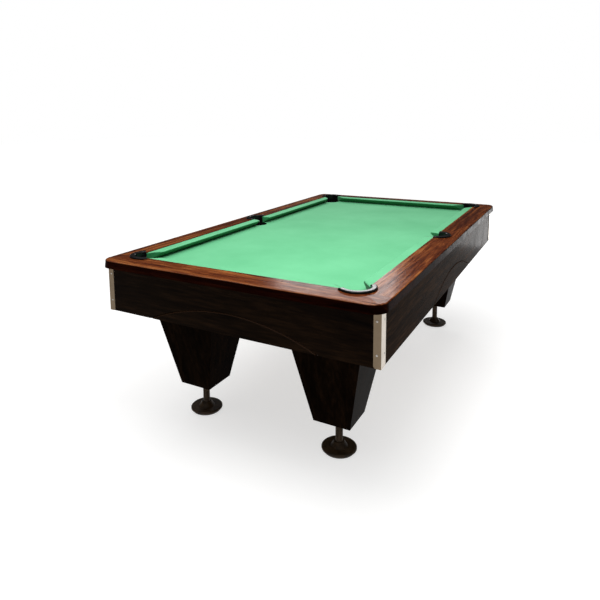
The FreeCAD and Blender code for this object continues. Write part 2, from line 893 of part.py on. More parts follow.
for corner, side, end in CORNERS:
    low_x, high_x = sorted(
        (inside_x * side, (inside_x - mm.block_width) * side), key=lambda size: size.value
    )
    low_y, high_y = sorted(
        (inside_y * end, (inside_y - mm.block_width) * end), key=lambda size: size.value
    )
    low_z = frame_z - mm.block_height
    block_pieces.append(
        box("corner_block_" + corner, (low_x, high_x), (low_y, high_y), (low_z, frame_z))
    )
corner_blocks = together("corner_blocks", block_pieces)

# Legs, the bolts that hold them to the long beams, and the levelling feet
leg_height = leg_top_z - mm.leg_floor_gap
leg_taper = (
    "atan((Sizes.leg_top_width - Sizes.leg_foot_width) / 2 / %s)" % leg_height.text
)
leg_bolt_bores = []
leg_bolt_parts = []
for corner, side, end in CORNERS:
    for across in (-1, 1):
        for along in (-1, 1):
            x = long_beam_x * side + mm.leg_bolt_half_pitch_x * across
            y = leg_y * end + mm.leg_bolt_half_pitch_y * along
            name = "%s_%d_%d" % (corner, across + 1, along + 1)
            base = (x, y, leg_top_z - mm.leg_bolt_reach)
            length = long_beam_z - leg_top_z + mm.leg_bolt_reach
            bore_base = (x, y, leg_top_z - mm.leg_bolt_reach - mm.fit_gap)
            bore_radius = mm.leg_bolt_radius + mm.running_gap
            leg_bolt_bores.append(
                cylinder("leg_bolt_bore_" + name, bore_radius, bore_base, length + mm.fit_gap)
            )
            leg_bolt_parts.append(
                cylinder("leg_bolt_shank_" + name, mm.leg_bolt_radius, base, length)
            )
            head_base = (x, y, long_beam_z)
            leg_bolt_parts.append(
                hexagon(
                    "leg_bolt_head_" + name,
                    mm.leg_bolt_head,
                    head_base,
                    mm.leg_bolt_head_height,
                )
            )
leg_bolts = fuse("leg_bolts", leg_bolt_parts)
leg_bolt_tool = fuse("leg_bolt_tool", leg_bolt_bores)
long_beams = [
    cut("long_beam_" + label, blank, leg_bolt_tool) for label, blank in zip(SIDES, beams)
]

stem_bore = mm.stem_radius + mm.running_gap
flange_bore = mm.nut_flange_radius + mm.running_gap
nut_bore = mm.nut_radius + mm.running_gap
BORE = [
    (0, 0),
    (flange_bore, 0),
    (flange_bore, mm.nut_flange_height),
    (nut_bore, mm.nut_flange_height),
    (nut_bore, mm.nut_height),
    (stem_bore, mm.nut_height),
    (stem_bore, mm.leg_bore_depth),
    (0, mm.leg_bore_depth),
]
NUT = [
    (stem_bore, 0),
    (mm.nut_flange_radius, 0),
    (mm.nut_flange_radius, mm.nut_flange_height),
    (mm.nut_radius, mm.nut_flange_height),
    (mm.nut_radius, mm.nut_height),
    (stem_bore, mm.nut_height),
]
DISC = [
    (0, 0),
    (mm.pad_radius, 0),
    (mm.pad_radius, mm.pad_height),
    (mm.disc_radius - mm.disc_edge, mm.pad_height),
    (mm.disc_radius, mm.pad_height + mm.disc_edge),
    (mm.disc_radius, mm.disc_height - mm.disc_edge),
    (mm.disc_radius - mm.disc_edge, mm.disc_height),
    (mm.hub_radius, mm.disc_height),
    (mm.hub_top_radius, mm.hub_height),
    (stem_bore, mm.hub_height),
    (stem_bore, mm.socket_floor),
    (0, mm.socket_floor),
]
STEM = [
    (0, 0),
    (mm.stem_radius, 0),
    (mm.stem_radius, mm.stem_length - mm.stem_edge),
    (mm.stem_radius - mm.stem_edge, mm.stem_length),
    (0, mm.stem_length),
]
legs = []
nuts = []
discs = []
stems = []
for corner, side, end in CORNERS:
    x = leg_x * side
    y = leg_y * end
    body = new("PartDesign::Body", "leg_block_" + corner)
    half_foot = mm.leg_foot_width * HALF
    outline = rectangle(half_foot, half_foot)
    pad(body, "leg_taper_" + corner, "XY_Plane", outline, leg_height, leg_taper)
    round_over(body, "leg_edges_" + corner, mm.leg_edge, is_slanted_side)
    place(body, x, y, mm.leg_floor_gap)
    bore = turned("leg_bore_" + corner, BORE, (x, y, mm.leg_floor_gap))
    tool = fuse("leg_tool_" + corner, [bore, leg_bolt_tool])
    legs.append(cut("leg_" + corner, body, tool))
    nuts.append(turned("leg_nut_" + corner, NUT, (x, y, mm.leg_floor_gap)))
    discs.append(turned("foot_disc_" + corner, DISC, (x, y, 0)))
    stems.append(turned("foot_stem_" + corner, STEM, (x, y, mm.socket_floor + mm.running_gap)))
leg_nuts = together("leg_nuts", nuts)

NODES = (
    slates
    + [bed_cloth]
    + rails
    + [sub_rails, cushion_rubbers, feather_strips]
    + cushion_cloths
    + liners
    + cups
    + aprons
    + long_beams
    + [centre_beam, cross_beams, corner_blocks]
    + trims
    + [trim_screws]
    + legs
    + [leg_nuts, leg_bolts, rail_bolts]
    + stems
    + discs
)

document.recompute()
faults = [item.Label for item in document.Objects if {"Invalid", "Error"} & set(item.State)]
faults += [node.Label for node in NODES if node.Shape.isNull() or not node.Shape.isValid()]
if faults:
    sys.exit("pieces that failed: " + ", ".join(faults))

os.makedirs("parts", exist_ok=True)
for node in NODES:
    node.Shape.exportStep("parts/%s.step" % node.Label)
print(len(NODES), "pieces written")
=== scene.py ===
# %% [markdown]
# # A pocket billiard table, dressed for its portrait
# The measured parts arrive as a fixed frame: every board, slate, liner and foot already has
# its real shape and place. This lesson gives them their finishes, and replaces the cloth and
# the plain stems of the feet with surfaces worked out by formula.

# %% Load the measured frame
import math

import bpy
import numpy as np
from mathutils import Matrix, Vector
from mathutils.geometry import delaunay_2d_cdt


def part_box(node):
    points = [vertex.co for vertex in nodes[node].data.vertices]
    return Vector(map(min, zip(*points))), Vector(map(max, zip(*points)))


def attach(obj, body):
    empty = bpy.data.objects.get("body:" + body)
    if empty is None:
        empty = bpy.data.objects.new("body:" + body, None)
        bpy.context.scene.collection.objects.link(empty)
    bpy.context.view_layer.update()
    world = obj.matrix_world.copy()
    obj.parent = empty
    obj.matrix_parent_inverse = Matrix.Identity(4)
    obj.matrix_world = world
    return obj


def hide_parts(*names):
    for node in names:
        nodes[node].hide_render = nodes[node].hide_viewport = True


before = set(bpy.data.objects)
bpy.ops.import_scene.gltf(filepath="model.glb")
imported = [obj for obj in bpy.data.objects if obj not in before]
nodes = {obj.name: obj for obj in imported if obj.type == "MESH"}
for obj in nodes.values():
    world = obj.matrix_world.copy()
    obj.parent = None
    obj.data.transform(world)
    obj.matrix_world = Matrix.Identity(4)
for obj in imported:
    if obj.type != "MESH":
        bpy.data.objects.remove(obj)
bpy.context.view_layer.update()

# %% [markdown]
# Everything that follows hangs on a few measured lines: where the cushions' noses stand, where
# the wood begins, how wide each pocket is bored, and how far the slate reaches under the rails.
# Reading the slates' box for the height of the bed keeps the cloth on the stone, even if the
# table is built a little higher.

# %% The table's own lines, in metres
SIDES = (-1, 1)
CLOTH_RISE = 0.001
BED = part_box("slate_middle")[1][2] + CLOTH_RISE
NOSE_X, NOSE_Y = 0.555, 1.110
WOOD = 0.050
WOOD_X, WOOD_Y = NOSE_X + WOOD, NOSE_Y + WOOD
SLATE_LEDGE = 0.042
SLATE_X, SLATE_Y = WOOD_X + SLATE_LEDGE, WOOD_Y + SLATE_LEDGE
CORNER_BORE, MIDDLE_BORE = 0.057, 0.055
CORNER_X = WOOD_X - CORNER_BORE / math.sqrt(2)
CORNER_Y = WOOD_Y - CORNER_BORE / math.sqrt(2)
POCKETS = [(sx * CORNER_X, sy * CORNER_Y, CORNER_BORE) for sx in SIDES for sy in SIDES]
POCKETS += [(sx * WOOD_X, 0.0, MIDDLE_BORE) for sx in SIDES]
print("bed at", BED, "with", len(POCKETS), "pockets")

# %% [markdown]
# ## Two helpers for surfaces
# A surface here is a grid of points: one parameter runs along it and the other across it. One
# helper lists the faces of such a grid, and a second makes an object of points and faces. A
# tube's grid is closed across, so that its last column joins its first without a seam.

# %% From arrays to a mesh
def grid_faces(rows, columns, closed=False):
    """Each face joins point (i, j) to its neighbours (i+1, j), (i+1, j+1) and (i, j+1)."""
    i = np.arange(rows - 1)[:, None]
    j = np.arange(columns if closed else columns - 1)[None, :]
    i, j = np.broadcast_arrays(i, j)
    down, right = i + 1, (j + 1) % columns
    corners = (i * columns + j, down * columns + j, down * columns + right, i * columns + right)
    return np.stack(corners, axis=-1).reshape(-1, 4)


def make_mesh(name, points, faces, smooth=True):
    """Put an array of points and a list of faces into a new object at the origin."""
    mesh = bpy.data.meshes.new(name)
    mesh.from_pydata(np.asarray(points).reshape(-1, 3).tolist(), [], faces)
    mesh.polygons.foreach_set("use_smooth", np.full(len(mesh.polygons), smooth))
    mesh.validate()
    mesh.update()
    made = bpy.data.objects.new(name, mesh)
    bpy.context.scene.collection.objects.link(made)
    return made


print("a grid of 3 by 3 points has", len(grid_faces(3, 3)), "faces")

# %% [markdown]
# ## A short way to write a node tree
# Every finish below is a tree of nodes. Writing each node with its inputs on one line keeps
# the recipe readable: a value fills a socket, and another node's output is linked to it. The
# nodes that come back again and again get a short name of their own.

# %% Node helpers
def fill(tree, node, inputs):
    """Fill sockets by name or number: a value is set, and another node's output is linked."""
    for name, value in inputs.items():
        if isinstance(value, bpy.types.NodeSocket):
            tree.links.new(value, node.inputs[name])
        else:
            node.inputs[name].default_value = value


def add(tree, kind, inputs, **settings):
    """Add one node with its settings and its inputs."""
    made = tree.nodes.new(kind)
    for name, value in settings.items():
        setattr(made, name, value)
    fill(tree, made, inputs)
    return made


def maths(tree, operation, first, second=0.0, third=0.0):
    """One step of arithmetic on up to three values."""
    inputs = {0: first, 1: second, 2: third}
    return add(tree, "ShaderNodeMath", inputs, operation=operation).outputs[0]


def noise(tree, place, scale, detail, **more):
    """Cloudy noise between 0 and 1, with about `scale` clouds to the metre."""
    inputs = {"Vector": place, "Scale": scale, "Detail": detail, **more}
    return add(tree, "ShaderNodeTexNoise", inputs).outputs[0]


def window(tree, value, low, high):
    """0 below low, 1 above high, and a straight slope between them."""
    inputs = {"Value": value, "From Min": low, "From Max": high}
    return add(tree, "ShaderNodeMapRange", inputs).outputs[0]


def spread(tree, value, low, high):
    """Carry 0 to low and 1 to high."""
    inputs = {"Value": value, "To Min": low, "To Max": high}
    return add(tree, "ShaderNodeMapRange", inputs).outputs[0]


def relief(tree, height, strength, distance):
    """Tilt the shading normal as if the surface rose by height times distance, in metres."""
    inputs = {"Height": height, "Strength": strength, "Distance": distance}
    return add(tree, "ShaderNodeBump", inputs).outputs[0]


print("node helpers for values:", maths.__name__, noise.__name__, window.__name__, spread.__name__)

# %% [markdown]
# Colours need three helpers more: a ramp that turns a value into a colour, a mix of two
# colours, and a mask that tells a lying face from an upright one. The mask reads the piece's
# own normal, so it doesn't change with the view.

# %% Colour helpers
def opaque(colour):
    """Add full alpha to a colour; a node's output passes through."""
    return colour if isinstance(colour, bpy.types.NodeSocket) else (*colour, 1.0)


def ramp(tree, factor, stops):
    """A colour ramp whose stops are (place, colour)."""
    made = add(tree, "ShaderNodeValToRGB", {"Fac": factor})
    elements = made.color_ramp.elements
    while len(elements) < len(stops):
        elements.new(0.5)
    for element, (place, colour) in zip(elements, stops):
        element.position = place
        element.color = opaque(colour)
    return made.outputs["Color"]


def mix_colour(tree, factor, first, second, blend="MIX"):
    """Blend from the first colour at factor 0 to the second at factor 1."""
    inputs = {0: factor, 6: opaque(first), 7: opaque(second)}
    return add(tree, "ShaderNodeMix", inputs, data_type="RGBA", blend_type=blend).outputs[2]


def normal_along(tree, axis):
    """The part of the piece's own normal that lies along one axis."""
    normal = tree.nodes.new("ShaderNodeTexCoord").outputs["Normal"]
    return add(tree, "ShaderNodeSeparateXYZ", {0: normal}).outputs["XYZ".index(axis)]


def facing_up(tree, low, high):
    """0 where a surface stands upright, 1 where it faces the ceiling."""
    return window(tree, normal_along(tree, "Z"), low, high)


print("node helpers for colours:", ramp.__name__, mix_colour.__name__, facing_up.__name__)

# %% [markdown]
# A group is a recipe that several finishes share, with named inputs and outputs. A material
# starts from an empty tree with one shader, and from the piece's own coordinates in metres, so
# that a pattern has the same size on every board.

# %% Groups and materials
FLOAT, VECTOR = "NodeSocketFloat", "NodeSocketVector"


def new_group(name, inputs, outputs):
    """An empty shader group with named sockets; returns the tree and its two ends."""
    group = bpy.data.node_groups.new(name, "ShaderNodeTree")
    group.interface.new_socket("Place", in_out="INPUT", socket_type=VECTOR)
    for label, value in inputs.items():
        socket = group.interface.new_socket(label, in_out="INPUT", socket_type=FLOAT)
        socket.default_value = value
    for label in outputs:
        group.interface.new_socket(label, in_out="OUTPUT", socket_type=FLOAT)
    start = group.nodes.new("NodeGroupInput").outputs
    end = group.nodes.new("NodeGroupOutput")
    return group, start, end


def use(tree, group, **inputs):
    """Place a group in a tree, with values or links for its inputs."""
    return add(tree, "ShaderNodeGroup", inputs, node_tree=group).outputs


def new_material(name):
    """A material with an empty tree, its shader and its object coordinates."""
    material = bpy.data.materials.new(name)
    material.use_nodes = True
    tree = material.node_tree
    tree.nodes.clear()
    shader = tree.nodes.new("ShaderNodeBsdfPrincipled")
    surface = tree.nodes.new("ShaderNodeOutputMaterial")
    tree.links.new(shader.outputs[0], surface.inputs[0])
    place = tree.nodes.new("ShaderNodeTexCoord").outputs["Object"]
    return material, tree, shader, place


def turned_place(tree, place, axis, degrees):
    """Coordinates turned about one axis, to lay the grain's Y along a board."""
    angles = [0.0, 0.0, 0.0]
    angles["XYZ".index(axis)] = math.radians(degrees)
    inputs = {"Vector": place, "Rotation": tuple(angles)}
    return add(tree, "ShaderNodeMapping", inputs).outputs[0]


print("starting points:", new_group.__name__, new_material.__name__)

# %% [markdown]
# ## Grain
# The rails are a stained hardwood under clear lacquer. Its figure has three scales: broad bands
# where the board was cut across its rings, fine streaks along it, and short dark pores. All of
# them are noise that has been stretched along the board, so the group expects the board to run
# along Y, and each material turns its coordinates to suit. A slow sway bends the lines a little.

# %% The grain group
def build_grain():
    """Noise on coordinates scaled by Fineness, and by Fineness over Stretch along Y."""
    group, start, end = new_group(
        "board_grain",
        {"Stretch": 14.0, "Fineness": 1.0},
        ["Bands", "Streaks", "Pores", "Relief"],
    )
    fineness = start["Fineness"]
    along = maths(group, "DIVIDE", fineness, start["Stretch"])
    size = add(group, "ShaderNodeCombineXYZ", {0: fineness, 1: along, 2: fineness}).outputs[0]
    inputs = {0: start["Place"], 1: size}
    place = add(group, "ShaderNodeVectorMath", inputs, operation="MULTIPLY").outputs[0]
    sway = add(group, "ShaderNodeTexNoise", {"Vector": place, "Scale": 6.0, "Detail": 2.0})
    inputs = {0: sway.outputs["Color"], 1: (0.06, 0.06, 0.06), 2: place}
    bent = add(group, "ShaderNodeVectorMath", inputs, operation="MULTIPLY_ADD").outputs[0]
    bands = noise(group, bent, 22.0, 3.0, Roughness=0.55, Distortion=0.6)
    streaks = noise(group, bent, 120.0, 5.0, Roughness=0.65)
    pores = window(group, noise(group, bent, 420.0, 2.0), 0.58, 0.72)
    height = maths(group, "MULTIPLY_ADD", pores, -0.6, streaks)
    fill(group, end, {"Bands": bands, "Streaks": streaks, "Pores": pores, "Relief": height})
    return group


GRAIN = build_grain()
print("grain group has", len(GRAIN.nodes), "nodes")

# %% [markdown]
# ## Handling marks
# No lacquered table stays perfect. Hands leave broad dull smears, dust settles, and the sheen
# breaks up a little. The same group, with other values, serves wood, plastic and metal.

# %% The handling group
SPECKS_PER_SMEAR = 60.0


def build_handling():
    """Smears are coarse noise between two thresholds, and specks are fine noise near its top."""
    group, start, end = new_group("handling_marks", {"Size": 9.0}, ["Smears", "Specks"])
    smears = noise(group, start["Place"], start["Size"], 4.0, Roughness=0.62)
    fine = maths(group, "MULTIPLY", start["Size"], SPECKS_PER_SMEAR)
    specks = noise(group, start["Place"], fine, 1.0)
    masks = {
        "Smears": window(group, smears, 0.35, 0.7),
        "Specks": window(group, specks, 0.66, 0.78),
    }
    fill(group, end, masks)
    return group


HANDLING = build_handling()
print("handling group has", len(HANDLING.nodes), "nodes")

# %% [markdown]
# ## Nap and weave
# Billiard cloth is worsted wool: so finely woven that only a faint grid of threads shows close
# up, with short fibres over it. From a step away it is an even green with slight clouds where
# the nap has been brushed one way or the other.

# %% The weave group
def build_weave():
    """Threads are the product of two sines, one along the cloth and one across it."""
    group, start, end = new_group(
        "worsted_weave",
        {"Threads": 700.0},
        ["Clouds", "Fibres", "Relief"],
    )
    parts = add(group, "ShaderNodeSeparateXYZ", {0: start["Place"]}).outputs
    across = maths(group, "ADD", parts[0], parts[2])
    rate = maths(group, "MULTIPLY", start["Threads"], 2 * math.pi)
    warp = maths(group, "SINE", maths(group, "MULTIPLY", across, rate))
    weft = maths(group, "SINE", maths(group, "MULTIPLY", parts[1], rate))
    threads = maths(group, "MULTIPLY", warp, weft)
    clouds = noise(group, start["Place"], 3.2, 4.0, Roughness=0.6)
    fibres = noise(group, start["Place"], 900.0, 3.0, Roughness=0.7)
    height = maths(group, "MULTIPLY_ADD", threads, 0.25, fibres)
    fill(group, end, {"Clouds": clouds, "Fibres": fibres, "Relief": height})
    return group


WEAVE = build_weave()
print("weave group has", len(WEAVE.nodes), "nodes")

# %% [markdown]
# ## The rail lacquer
# A dark red-brown stain lies deeper in some bands and in the pores. The upright edges get a
# painted shade that makes them darker than the tops, and a glossy coat lies on the tops alone,
# stronger where the streaks are light. The coat is a second layer on the shader, so the wood
# under it can stay soft while the lights still draw clear shapes on top.

# %% Rail wood
# Painted shade for the rails' upright edges, which stand in shade under the top light.
EDGE_PAINTED_SHADE = (0.06, 0.03, 0.03)
PORE_STAIN = (0.012, 0.004, 0.003)
RAIL_STOPS = [
    (0.36, (0.012, 0.002, 0.001)),
    (0.50, (0.052, 0.010, 0.003)),
    (0.60, (0.125, 0.030, 0.007)),
    (0.74, (0.300, 0.105, 0.028)),
]


def rail_wood(name, turn):
    """Stained and lacquered rail; turn lays the grain along the board, in degrees about Z."""
    material, tree, shader, place = new_material(name)
    turned = turned_place(tree, place, "Z", turn)
    grain = use(tree, GRAIN, Place=turned, Stretch=16.0, Fineness=1.0)
    marks = use(tree, HANDLING, Place=place, Size=11.0)
    top = facing_up(tree, 0.35, 0.85)
    broad = maths(tree, "MULTIPLY", grain["Bands"], 0.6)
    stain = ramp(tree, maths(tree, "MULTIPLY_ADD", grain["Streaks"], 0.55, broad), RAIL_STOPS)
    stain = mix_colour(tree, maths(tree, "MULTIPLY", grain["Pores"], 0.7), stain, PORE_STAIN)
    # Painted shade: the stain is multiplied by a dark colour, and the mask below keeps it off the
    # tops.
    edge = mix_colour(tree, 1.0, stain, EDGE_PAINTED_SHADE, "MULTIPLY")
    coat = maths(tree, "MULTIPLY_ADD", grain["Streaks"], 0.9, -0.06)
    sockets = {
        "Base Color": mix_colour(tree, top, edge, stain),
        "Roughness": spread(tree, marks["Smears"], 0.2, 0.36),
        "Normal": relief(tree, grain["Relief"], 0.12, 0.0006),
        "Coat Weight": maths(tree, "MULTIPLY", top, coat),
        "Coat Roughness": 0.2,
        "Specular IOR Level": 0.004,
    }
    fill(tree, shader, sockets)
    return material


RAIL_ALONG = rail_wood("rail_lacquer_along", 0)
RAIL_ACROSS = rail_wood("rail_lacquer_across", 90)
print("rail finishes:", RAIL_ALONG.name, RAIL_ACROSS.name)

# %% [markdown]
# ## The cabinet's dark boards
# The aprons and legs are veneered and stained almost black, so both their colour and their
# reflection are kept very low. The ledge of the arched groove faces up and catches the light,
# so a mask paints a browner highlight on it, and on every face of these boards that looks up.

# %% Cabinet wood
# Painted highlight for faces of the dark boards that look up, such as the groove's ledge.
LEDGE_PAINTED_LIGHT = (0.042, 0.021, 0.012)
CABINET_STOPS = [
    (0.40, (0.0030, 0.0015, 0.0008)),
    (0.56, (0.0088, 0.0044, 0.0021)),
    (0.72, (0.0220, 0.0105, 0.0048)),
]


def cabinet_wood(name, axis, turn, painted_lightness, reflection):
    """Dark veneer: the stain's stops are all scaled by one lightness, which paints light and shade
    on each piece.
    """
    material, tree, shader, place = new_material(name)
    turned = turned_place(tree, place, axis, turn)
    grain = use(tree, GRAIN, Place=turned, Stretch=12.0, Fineness=0.8)
    marks = use(tree, HANDLING, Place=place, Size=7.0)
    broad = maths(tree, "MULTIPLY", grain["Bands"], 0.5)
    figure = maths(tree, "MULTIPLY_ADD", grain["Streaks"], 0.6, broad)
    stops = [(at, tuple(painted_lightness * value for value in colour)) for at, colour in CABINET_STOPS]
    stain = ramp(tree, figure, stops)
    sockets = {
        # Painted highlight: upward faces take the lighter brown.
        "Base Color": mix_colour(tree, facing_up(tree, 0.2, 0.8), stain, LEDGE_PAINTED_LIGHT),
        "Roughness": spread(tree, marks["Smears"], 0.14, 0.26),
        "Normal": relief(tree, grain["Relief"], 0.1, 0.0006),
        "Specular IOR Level": reflection,
    }
    fill(tree, shader, sockets)
    return material


# Painted light and shade: one veneer, lightened on the lit side aprons and darkened on the end
# aprons and the legs, which stand in shade.
APRON_ALONG = cabinet_wood("apron_stain_along", "Z", 0, 1.8, 0.001)
APRON_ACROSS = cabinet_wood("apron_stain_across", "Z", 90, 0.7, 0.01)
LEG_STAIN = cabinet_wood("leg_stain", "X", 90, 0.4, 0.002)
print("cabinet finishes:", APRON_ALONG.name, APRON_ACROSS.name, LEG_STAIN.name)

# %% [markdown]
# ## Green cloth
# Wool scatters light from its fibre ends, which brightens it at a grazing angle. The sheen
# value on the shader gives that edge of light, and the weave group gives clouds and fibres.
# Where the cloth stands upright, as on a cushion's nose, a painted shade makes its green deeper.

# %% Cloth
FIBRE_GREEN = (0.140, 0.500, 0.260)
# Painted shade for the upright cloth, which gets less of the light from above.
SHADED_GREEN = (0.010, 0.170, 0.050)
CLOTH_STOPS = [(0.30, (0.076, 0.370, 0.166)), (0.70, (0.112, 0.445, 0.216))]


def green_cloth(name):
    """Clouds choose the green, and fibres mix a lighter one over it."""
    material, tree, shader, place = new_material(name)
    weave = use(tree, WEAVE, Place=place, Threads=650.0)
    shade = ramp(tree, weave["Clouds"], CLOTH_STOPS)
    shade = mix_colour(tree, maths(tree, "MULTIPLY", weave["Fibres"], 0.35), shade, FIBRE_GREEN)
    sockets = {
        "Base Color": mix_colour(tree, facing_up(tree, -0.1, 0.9), SHADED_GREEN, shade),
        "Normal": relief(tree, weave["Relief"], 0.25, 0.0004),
        "Roughness": 0.8,
        "Specular IOR Level": 0.3,
        "Sheen Weight": 0.15,
        "Sheen Roughness": 0.5,
        "Sheen Tint": (0.75, 1.0, 0.85, 1.0),
    }
    fill(tree, shader, sockets)
    return material


CLOTH = green_cloth("green_worsted")
print("cloth finish:", CLOTH.name)

# %% [markdown]
# ## Moulded black
# The pocket liners are glossy mouldings with a slightly wavy skin. The cups, the rubber and
# the strip in the seam are duller. One recipe serves them all, with specks of dust over the
# colour, and smears that both dull the gloss and dent the skin.

# %% Liners, cups, rubber and seam strip
DUST = (0.08, 0.075, 0.07)


def moulding(name, colour, roughness, wave=0.12, reflection=0.5):
    """A dark moulding; roughness varies from 0.8 to 1.5 times its value with the smears."""
    material, tree, shader, place = new_material(name)
    marks = use(tree, HANDLING, Place=place, Size=24.0)
    dusty = maths(tree, "MULTIPLY", marks["Specks"], 0.25)
    sockets = {
        "Base Color": mix_colour(tree, dusty, colour, DUST),
        "Roughness": spread(tree, marks["Smears"], roughness * 0.8, roughness * 1.5),
        "Normal": relief(tree, marks["Smears"], wave, 0.001),
        "Specular IOR Level": reflection,
    }
    fill(tree, shader, sockets)
    return material


LINER_BLACK = moulding("liner_gloss_black", (0.004, 0.004, 0.0045), 0.10, 0.45, 0.12)
CUP_BLACK = moulding("cup_matt_black", (0.010, 0.010, 0.010), 0.5)
RUBBER = moulding("cushion_rubber", (0.03, 0.028, 0.026), 0.6)
SEAM_DARK = moulding("seam_strip_dark", (0.012, 0.007, 0.005), 0.5)
print("mouldings:", LINER_BLACK.name, CUP_BLACK.name, RUBBER.name, SEAM_DARK.name)

# %% [markdown]
# ## Brushed trims, screws and bolts
# A brushed trim has fine strokes along its length: noise stretched along Z, which varies the
# gloss and the relief. The leaves that face the table's ends get a painted shade, darker than
# those along its sides, through a mask on the normal's Y. Screws and bolts keep round noise.

# %% Brushed and plain metal
def brushed_metal(name, colour, stretch, roughness, shaded_ends=None):
    """Metal with noise scaled by stretch along Z; the last colour, a painted shade, multiplies the
    end faces.
    """
    material, tree, shader, place = new_material(name)
    inputs = {"Vector": place, "Scale": (1.0, 1.0, stretch)}
    strokes = add(tree, "ShaderNodeMapping", inputs).outputs[0]
    lines = noise(tree, strokes, 900.0, 3.0)
    marks = use(tree, HANDLING, Place=place, Size=30.0)
    smeared = tuple(0.72 * value for value in colour)
    shade = mix_colour(tree, maths(tree, "MULTIPLY", marks["Smears"], 0.5), colour, smeared)
    if shaded_ends is not None:
        towards_end = maths(tree, "ABSOLUTE", normal_along(tree, "Y"))
        darker = mix_colour(tree, 1.0, shade, shaded_ends, "MULTIPLY")
        shade = mix_colour(tree, window(tree, towards_end, 0.4, 0.8), shade, darker)
    sockets = {
        "Base Color": shade,
        "Roughness": spread(tree, lines, roughness * 0.7, roughness * 1.4),
        "Normal": relief(tree, lines, 0.15, 0.0003),
        "Metallic": 1.0,
    }
    fill(tree, shader, sockets)
    return material


# The last colour is a painted shade for the leaves that face the table's ends.
TRIM_METAL = brushed_metal("trim_brushed", (0.62, 0.56, 0.49), 0.02, 0.36, (0.30, 0.25, 0.19))
SCREW_METAL = brushed_metal("screw_bright", (0.45, 0.43, 0.40), 1.0, 0.3)
BOLT_METAL = brushed_metal("bolt_dull", (0.25, 0.24, 0.22), 1.0, 0.42)
print("metals:", TRIM_METAL.name, SCREW_METAL.name, BOLT_METAL.name)

# %% [markdown]
# ## Painted castings and stems
# The feet are castings under dark bronze paint, with the small pits of sand casting. The stems
# are plated steel gone dull, and darker where oil has gathered in the smears.

# %% Feet
FOOT_STOPS = [(0.1, (0.016, 0.009, 0.004)), (0.9, (0.046, 0.026, 0.012))]
CHIPPED_PAINT = (0.10, 0.06, 0.035)


def painted_casting(name):
    """Smears choose the paint's shade, and fine noise gives its pits."""
    material, tree, shader, place = new_material(name)
    marks = use(tree, HANDLING, Place=place, Size=22.0)
    chips = maths(tree, "MULTIPLY", marks["Specks"], 0.5)
    paint = ramp(tree, marks["Smears"], FOOT_STOPS)
    sockets = {
        "Base Color": mix_colour(tree, chips, paint, CHIPPED_PAINT),
        "Normal": relief(tree, noise(tree, place, 260.0, 4.0), 0.3, 0.0008),
        "Roughness": 0.42,
        "Specular IOR Level": 0.15,
    }
    fill(tree, shader, sockets)
    return material


def stem_metal(name):
    """Dull plated steel; the smears choose between plate and oil."""
    material, tree, shader, place = new_material(name)
    marks = use(tree, HANDLING, Place=place, Size=40.0)
    plate, oil = (0.075, 0.047, 0.026), (0.034, 0.021, 0.012)
    sockets = {
        "Base Color": mix_colour(tree, marks["Smears"], plate, oil),
        "Roughness": spread(tree, marks["Smears"], 0.34, 0.52),
        "Normal": relief(tree, noise(tree, place, 700.0, 3.0), 0.2, 0.0003),
        "Metallic": 0.4,
    }
    fill(tree, shader, sockets)
    return material


FOOT_PAINT = painted_casting("foot_bronze_paint")
STEM_STEEL = stem_metal("stem_plated_steel")
print("foot finishes:", FOOT_PAINT.name, STEM_STEEL.name)

# %% [markdown]
# ## Slate and bare timber
# Slate splits along flat beds, which show at its cut edges as fine level bands. Noise squeezed
# in height gives them. The frame under it is plain timber, with the rails' grain group used at
# a coarser size and without lacquer.

# %% Stone and timber
SLATE_STOPS = [(0.3, (0.055, 0.062, 0.068)), (0.7, (0.115, 0.122, 0.128))]
TIMBER_STOPS = [
    (0.35, (0.30, 0.185, 0.095)),
    (0.55, (0.44, 0.30, 0.17)),
    (0.70, (0.52, 0.38, 0.23)),
]
TIMBER_PORE = (0.16, 0.09, 0.045)


def slate_stone(name):
    """Noise that changes nine times faster in height than along the bed."""
    material, tree, shader, place = new_material(name)
    marks = use(tree, HANDLING, Place=place, Size=14.0)
    inputs = {"Vector": place, "Scale": (1.0, 1.0, 9.0)}
    layers = add(tree, "ShaderNodeMapping", inputs).outputs[0]
    beds = noise(tree, layers, 30.0, 6.0)
    sockets = {
        "Base Color": ramp(tree, beds, SLATE_STOPS),
        "Roughness": spread(tree, marks["Smears"], 0.5, 0.75),
        "Normal": relief(tree, beds, 0.2, 0.001),
    }
    fill(tree, shader, sockets)
    return material


def bare_timber(name, turn):
    """Planed timber; turn lays the grain along the board, in degrees about Z."""
    material, tree, shader, place = new_material(name)
    turned = turned_place(tree, place, "Z", turn)
    grain = use(tree, GRAIN, Place=turned, Stretch=12.0, Fineness=0.7)
    pores = maths(tree, "MULTIPLY", grain["Pores"], 0.5)
    shade = ramp(tree, grain["Bands"], TIMBER_STOPS)
    sockets = {
        "Base Color": mix_colour(tree, pores, shade, TIMBER_PORE),
        "Normal": relief(tree, grain["Relief"], 0.35, 0.0008),
        "Roughness": 0.7,
    }
    fill(tree, shader, sockets)
    return material


SLATE = slate_stone("honed_slate")
TIMBER_ALONG = bare_timber("timber_along", 0)
TIMBER_ACROSS = bare_timber("timber_across", 90)
print("hidden finishes:", SLATE.name, TIMBER_ALONG.name, TIMBER_ACROSS.name)

# %% [markdown]
# ## Who wears what
# The frame's own pieces keep their shape and take a finish by name. Grain follows each board:
# side pieces run along Y, end pieces along X, and legs upwards. The first line of the list that
# fits a name counts, so the bolts and nuts of the legs stand before the legs.

